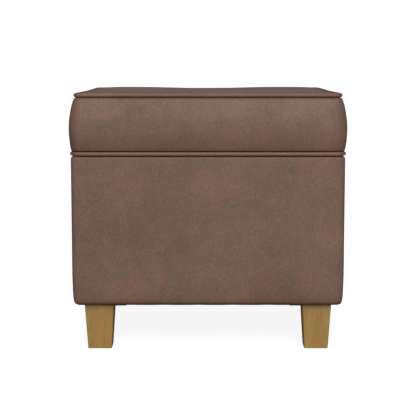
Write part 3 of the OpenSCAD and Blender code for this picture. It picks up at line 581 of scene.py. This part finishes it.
# ---- Dust cover and its staples ----
# Black spun-bonded cloth with a pressed dot pattern, stapled under the frame all round with zinc-plated
# wire staples; the leg bolts go through it.
dust_cloth, tree, shader, place = start_finish("black_dust_cloth", Roughness=0.95)
dots = add_node(tree, "ShaderNodeTexVoronoi", {"Vector": place, "Scale": 420, "Randomness": 0.0}).outputs["Distance"]
pressed = spread(tree, dots, 0.18, 0.3, 0, 1)
fibres = cloudy(tree, place, 240, 5, 0.7)
tree.links.new(
    ramp(tree, sums(tree, (pressed, 0.35), (fibres, 0.65)), (0.2, srgb(18, 18, 19)), (0.8, srgb(48, 48, 50))),
    shader.inputs["Base Color"],
)
raise_surface(tree, shader, sums(tree, (pressed, 0.6), (fibres, 0.4)), 0.2 * MM)
low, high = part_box("dust_cover")
bm = bmesh.new()
bmesh.ops.create_grid(bm, x_segments=72, y_segments=72, size=high.x)
for v in bm.verts:
    edge = high.x - max(abs(v.co.x), abs(v.co.y))
    pull = 0.25 * MM * (1 - eased(edge, 8 * MM, 40 * MM)) * math.cos(math.tau * (v.co.x + v.co.y) / (59 * MM))
    v.co.z = low.z + 0.1 * MM + max(pull, 0)
bmesh.ops.reverse_faces(bm, faces=bm.faces)
dust_piece = make_piece(bm, "dust_cover_cloth", dust_cloth, "box")
give_thickness(dust_piece, 0.5 * MM, 0)
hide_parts("dust_cover")
cover_node(zinc, "dust_cover_staples")

# ---- Legs ----
# Tapered square legs of solid oak under a satin golden-brown lacquer, with the grain running down the leg.
# Each one is turned on to its bolt until it meets the cover.
oak, tree, shader, place = start_finish("golden_oak", Coat_Weight=0.2, Coat_Roughness=0.35)
figure = cloudy(tree, stretched(tree, place, (46, 46, 5)), 1, 3, 0.55, 0.6)
threads = cloudy(tree, stretched(tree, place, (520, 520, 22)), 1, 4, 0.65)
pores = cloudy(tree, stretched(tree, place, (1300, 1300, 60)), 1, 2, 0.6)
wood = ramp(tree, figure, (0.30, srgb(158, 116, 56)), (0.48, srgb(151, 117, 62)), (0.66, srgb(160, 126, 71)))
shade = ramp(tree, sums(tree, (threads, 0.6), (pores, 0.4)), (0.34, (0.74, 0.70, 0.62, 1)),
             (0.5, (0.98, 0.98, 0.97, 1)), (0.66, (1.12, 1.12, 1.1, 1)))
tree.links.new(blended(tree, 1.0, wood, shade, "MULTIPLY"), shader.inputs["Base Color"])
tree.links.new(spread(tree, threads, 0.3, 0.7, 0.5, 0.36), shader.inputs["Roughness"])
raise_surface(tree, shader, sums(tree, (threads, 0.5), (pores, 0.5)), 0.12 * MM)
cover_node(oak, "front_left_leg", "front_right_leg", "rear_left_leg", "rear_right_leg")

# ---- Foot glides and rim bumpers ----
# Black rubber: a nailed glide let into the foot of each leg, and a glued button in each corner of the rim
# that the lid rests on.
rubber, tree, shader, place = start_finish("black_rubber")
speckle = cloudy(tree, place, 900, 3, 0.7)
tree.links.new(ramp(tree, speckle, (0.3, srgb(20, 20, 21)), (0.7, srgb(36, 36, 37))), shader.inputs["Base Color"])
tree.links.new(spread(tree, speckle, 0.3, 0.7, 0.62, 0.8), shader.inputs["Roughness"])
raise_surface(tree, shader, speckle, 0.06 * MM)
cover_node(rubber, "foot_glides", "rim_bumpers")

# ---- Hinges ----
# Two butt hinges of zinc-plated steel with five knuckles, one leaf screwed to the rear board and the other
# under the lid.
cover_node(zinc, "left_hinge_box_leaf", "right_hinge_box_leaf", "left_hinge_lid_leaf", "right_hinge_lid_leaf",
           "hinge_pins", "hinge_box_screws", "hinge_lid_screws")

# ---- Lid stays ----
# A folding stay on each side: two flat zinc-plated arms riveted at the elbow, a bracket on the side wall
# and an angle bracket under the lid.
for side in ("left", "right"):
    cover_node(zinc, *[f"{side}_stay_{part}" for part in (
        "box_bracket", "lower_arm", "elbow_rivet", "upper_arm", "lid_bracket")])
cover_node(zinc, "stay_box_pivots", "stay_lid_pivots", "stay_box_screws", "stay_lid_screws")

# ---- Lid board ----
# One birch plywood board that carries the cushion. The hinges and the stays are screwed up into it, and
# the cover is stapled to its underside.
cover_node(flat_board, "lid_board")

# ---- Lid foam ----
# A block of firm cream foam, cut a little smaller than the cushion on every side and glued on the board.
# Its upper edges are rounded over and its top is slightly crowned.
foam_low, foam_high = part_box("lid_foam")
board_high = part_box("lid_board")[1]
FOAM_CORNER = 14 * MM
bm = rounded_net(foam_high.x, FOAM_CORNER, 24, 3)
lay_net(bm, foam_high.x, FOAM_CORNER, 4 * MM, lambda x, y: foam_high.z + 1.5 * MM * (
    1 - (x / foam_high.x) ** 2) * (1 - (y / foam_high.x) ** 2))
side_rows = [(1.2 * MM, foam_high.z - 1.2 * MM), (0, foam_high.z - 4 * MM)]
side_rows += [(0, foam_high.z - 4 * MM - (foam_high.z - foam_low.z - 4 * MM) * i / 8) for i in range(1, 9)]
last = pull_rows(bm, foam_high.x, FOAM_CORNER, side_rows)
bmesh.ops.edgeloop_fill(bm, edges=last)
bmesh.ops.recalc_face_normals(bm, faces=bm.faces)
foam_block = make_piece(bm, "lid_foam_block", foam_finish, "lid")
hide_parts("lid_foam")

# ---- Lid wadding ----
# A hood of white polyester wadding pulled down over the foam block, thick at the sides so that they
# bulge, with its lower edge against the board.
LID_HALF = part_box("lid_boxing")[1].x
LID_CORNER = 22 * MM
lid_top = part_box("upper_welt")[1].z
lid_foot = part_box("lid_lining")[0].z
TOP_SEAM_INSET = 15.6 * MM
LID_FULLER = 1.7 * MM
LID_STARTS, LID_FULL = LID_HALF - 42 * MM, LID_HALF - 17 * MM


def at_top(x, y):
    """Height of the lid's top cover: it rises steeply from its seam, then gently to the middle."""
    half = LID_HALF - TOP_SEAM_INSET
    steep = [1 - math.exp(-max(half - abs(t), 0) / (7 * MM)) for t in (x, y)]
    gentle = [1 - min(abs(t) / half, 1) ** 2.4 for t in (x, y)]
    return lid_top - 4.2 * MM + 4.3 * MM * steep[0] * steep[1] + 1.2 * MM * gentle[0] * gentle[1]


side_profile = [(i * MM, z * MM) for i, z in (
    (9.5, 429.4), (8.75, 427.9), (6.95, 423.2), (5.55, 418.4), (4.25, 413.4), (3.35, 408.6), (2.35, 403.4),
    (1.65, 398.4), (0.85, 393.0), (0.4, 387.0), (0.1, 381.0), (0.0, 375.4), (0.3, 369.0), (0.7, 363.5),
    (1.1, 358.4), (1.75, 353.3), (2.35, 348.9), (3.0, 345.6))]
wadding, tree, shader, place = start_finish("white_wadding", Roughness=1.0, Sheen_Weight=0.3)
fibres = cloudy(tree, place, 320, 6, 0.75, 1.2)
tree.links.new(ramp(tree, fibres, (0.3, srgb(222, 222, 220)), (0.7, srgb(248, 248, 246))),
               shader.inputs["Base Color"])
raise_surface(tree, shader, fibres, 0.8 * MM)
bm = rounded_net(LID_HALF, LID_CORNER, 40, 3)
lay_net(bm, LID_HALF, LID_CORNER, TOP_SEAM_INSET + 1.5 * MM, lambda x, y: at_top(x, y) - 2.2 * MM)
hood_rows = [(16.5 * MM, lid_top - 7.5 * MM), (12 * MM, lid_top - 8.5 * MM)]
hood_rows += [(i + 1.6 * MM, z) for i, z in side_profile[1:]]
hood_rows += [(9.9 * MM, board_high.z - 3 * MM), (9.9 * MM, board_high.z + 0.3 * MM),
              (19.6 * MM, board_high.z + 0.3 * MM)]
hood_rows += [(19.6 * MM, foam_high.z - 4 * MM), (21 * MM, foam_high.z - 0.5 * MM), (24 * MM, foam_high.z + 1.8 * MM)]
last = pull_rows(bm, LID_HALF, LID_CORNER, hood_rows)
bmesh.ops.edgeloop_fill(bm, edges=last)
bmesh.ops.recalc_face_normals(bm, faces=bm.faces)
for v in bm.verts:
    v.co += v.normal * 0.25 * MM * noise.noise(v.co * 45)
fill_out(bm, LID_FULLER, LID_HALF - 18 * MM, LID_HALF - 10 * MM)
hood = make_piece(bm, "lid_wadding_hood", wadding, "lid")
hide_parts("lid_wadding")

# ---- Lid top cover and boxing ----
# The same leather: a square top panel and one long band around the sides, sewn together over a welt. The
# band bulges over the wadding and is turned in under the lower welt and stapled under the board.
def ear(at):
    """How much the cushion's seams rise towards its rear corners, by home point."""
    return 1.8 * MM * eased(abs(at.x), 10 * MM, 130 * MM) * eased(at.y, -40 * MM, 190 * MM)


MOST_SWELL = 1.1 * MM
CLOTH_STEPS = 20
SEWN_BEYOND = 0.205


def swell(bm, held, most):
    """Lets the cover swell like cloth over its filling, held where held says, moving no more than most."""
    bm.verts.index_update()
    mesh = bpy.data.meshes.new("cover_trial")
    bm.to_mesh(mesh)
    trial = bpy.data.objects.new("cover_trial", mesh)
    bpy.context.collection.objects.link(trial)
    trial.vertex_groups.new(name="sewn").add([v.index for v in bm.verts if held(v)], 1.0, "REPLACE")
    settings = trial.modifiers.new("cloth", "CLOTH").settings
    settings.vertex_group_mass = "sewn"
    settings.tension_stiffness = settings.compression_stiffness = 25
    settings.shear_stiffness = 12
    settings.bending_stiffness = 2
    settings.use_pressure = True
    settings.uniform_pressure_force = 4
    settings.effector_weights.gravity = 0
    for step in range(1, CLOTH_STEPS + 1):
        bpy.context.scene.frame_set(step)
    swollen = trial.evaluated_get(bpy.context.evaluated_depsgraph_get()).data
    moves = [swollen.vertices[v.index].co - v.co for v in bm.verts]
    for v, move in zip(bm.verts, moves):
        v.co += move * (most / (most + move.length))
    bpy.data.objects.remove(trial)
    bpy.data.meshes.remove(mesh)
    bpy.context.scene.frame_set(1)


bm = rounded_net(LID_HALF, LID_CORNER, 72, 5)
lay_net(bm, LID_HALF, LID_CORNER, TOP_SEAM_INSET, at_top)
home = bm.verts.layers.float_vector["home"]
for v in bm.verts:
    v.co.z += ear(v[home])
panel = bm.faces.layers.int.new("panel")
top_faces = list(bm.faces)
seam_rows = [(15.4 * MM, lid_top - 6.4 * MM), (14.2 * MM, lid_top - 7.6 * MM), (12.4 * MM, lid_top - 8.1 * MM),
             (10.9 * MM, lid_top - 8.5 * MM)]
last = pull_rows(bm, LID_HALF, LID_CORNER, seam_rows, ear)
turn_rows = [(3.6 * MM, lid_foot + 8.2 * MM), (4.6 * MM, lid_foot + 7.0 * MM), (6.2 * MM, lid_foot + 6.2 * MM),
             (8.2 * MM, lid_foot + 5.5 * MM), (8.5 * MM, lid_foot + 4 * MM), (8.6 * MM, lid_foot + 2 * MM),
             (9.6 * MM, lid_foot + 1.05 * MM), (14 * MM, lid_foot + 1.05 * MM), (22 * MM, lid_foot + 1.05 * MM),
             (30 * MM, lid_foot + 1.05 * MM), (38.6 * MM, lid_foot + 1.05 * MM)]
pull_rows(bm, LID_HALF, LID_CORNER, side_profile + turn_rows)
for f in top_faces:
    f[panel] = 1
bmesh.ops.recalc_face_normals(bm, faces=bm.faces)
for v in bm.verts:
    if lid_foot + 8 * MM < v.co.z < lid_top - 8 * MM:
        out = facing(v[home], LID_HALF, LID_CORNER)
        up = eased(v.co.z, lid_foot + 8 * MM, lid_foot + 24 * MM) * eased(lid_top - v.co.z, 8 * MM, 24 * MM)
        crease = noise.noise(Vector((v.co.x * 70, v.co.y * 70, v.co.z * 8)))
        near_seam = 1 - min(eased(v.co.z, lid_foot + 9 * MM, lid_foot + 26 * MM),
                            eased(lid_top - v.co.z, 8 * MM, 26 * MM))
        v.co += out * (0.35 * up * noise.noise(v.co * 14) + 0.22 * near_seam * crease) * MM
    elif v.co.z >= lid_top - 3 * MM:
        v.co.z += (0.45 * noise.noise(v.co * 13) + 0.12 * noise.noise(v.co * 60)) * MM
fill_out(bm, LID_FULLER, LID_STARTS, LID_FULL)
swell(bm, lambda v: v.co.z < lid_foot + 10 * MM or (
    lid_top - 9.6 * MM < v.co.z < lid_top - 3 * MM and max(abs(v.co.x), abs(v.co.y)) > SEWN_BEYOND), MOST_SWELL)
# Painted shade: darker in the seam under the upper welt and the seam above the lower welt, and a little darker down
# the lower part of the band, where it curves under.
paint(bm, "painted_shade", lambda v: 0 if v.co.z > lid_top - 3.2 * MM else max(
    eased(v.co.z, lid_top - 10.2 * MM, lid_top - 8.2 * MM),
    1 - eased(v.co.z, lid_foot + 6.4 * MM, lid_foot + 9.4 * MM),
    0.25 * (1 - eased(v.co.z, lid_foot + 10 * MM, lid_foot + 40 * MM))))
top_only, band_only = bm.copy(), bm
bmesh.ops.delete(top_only, geom=[f for f in top_only.faces if not f[top_only.faces.layers.int["panel"]]],
                 context="FACES")
bmesh.ops.delete(band_only, geom=[f for f in band_only.faces if f[panel]], context="FACES")
top_cover = make_piece(top_only, "lid_top_panel", leather, "lid")
give_thickness(top_cover, COVER_T, 1)
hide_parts("lid_top_cover")
boxing = make_piece(band_only, "lid_side_band", leather, "lid")
give_thickness(boxing, COVER_T, 1)
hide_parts("lid_boxing")

# ---- Welts ----
# Piping cord wrapped in a strip of the same leather, sewn into the upper and lower seams of the cushion,
# with its flange between the layers. The raised line is paler, partly from wear and partly as a painted
# highlight, and the flange side is darker with painted shade in the seam.
def make_welt(name, node, inset, height, radius, lift, wear_and_highlight):
    """A welt that runs round the lid, with a flange pointing in to the seam."""
    turns = [math.radians(150 - 300 * i / 15) for i in range(16)]
    rows = [(inset + 5.2 * MM, height + 0.3 * MM)]
    rows += [(inset - radius * math.cos(a), height + radius * math.sin(a)) for a in turns]
    rows += [(inset + 5.2 * MM, height - 0.3 * MM)]
    bm = rounded_net(LID_HALF, LID_CORNER, 84, 5)
    lay_net(bm, LID_HALF, LID_CORNER, rows[0][0], rows[0][1])
    net_faces = list(bm.faces)
    home = bm.verts.layers.float_vector["home"]
    for v in bm.verts:
        v.co.z += lift(v[home])
    last = pull_rows(bm, LID_HALF, LID_CORNER, rows[1:], lift)
    bmesh.ops.delete(bm, geom=net_faces, context="FACES")
    bmesh.ops.bridge_loops(bm, edges=[e for e in bm.edges if e.is_boundary])
    bmesh.ops.recalc_face_normals(bm, faces=bm.faces)
    for v in bm.verts:
        v.co += v.normal * (0.16 * noise.noise(v.co * 55) + 0.10 * noise.noise(v.co * 160)) * MM
    # Painted on the welt: its raised outer line paler, partly wear and partly a painted highlight, and its flange
    # side darker, painted shade in the seam.
    paint(bm, "rub_and_highlight", lambda v: wear_and_highlight * eased(
        max(abs(v.co.x), abs(v.co.y)), LID_HALF - inset + 0.1 * radius, LID_HALF - inset + 0.9 * radius))
    paint(bm, "painted_shade", lambda v: 1 - eased(
        max(abs(v.co.x), abs(v.co.y)), LID_HALF - inset - 1.2 * radius, LID_HALF - inset - 0.3 * radius))
    fill_out(bm, LID_FULLER, LID_STARTS, LID_FULL)
    welt = make_piece(bm, name, leather, "lid")
    rounding = welt.modifiers.new("rounding", "SUBSURF")
    rounding.levels = rounding.render_levels = 1
    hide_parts(node)


make_welt("upper_piping", "upper_welt", 12.45 * MM, lid_top - 4.1 * MM, 3.7 * MM, ear, 0.2)
make_welt("lower_piping", "lower_welt", 4.95 * MM, lid_foot + 2.3 * MM, 3.4 * MM, lambda at: 0, 0.4)

# ---- Lid lining ----
# Black lining cloth, its edge folded in and stapled under the board, where it hides the raw edge of the
# turned-in band.
low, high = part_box("lid_lining")
bm = hung_cloth("lid_lining_cloth", low, high, 2, -1, False, 17.0, 72)
lid_cloth = make_piece(bm, "lid_lining_cloth", lining_cloth, "lid")
give_thickness(lid_cloth, 0.7 * MM, 0)
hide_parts("lid_lining")

# ---- Outer size ----
# The outer size of the finished object, floor left out, is measured.
low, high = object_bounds()
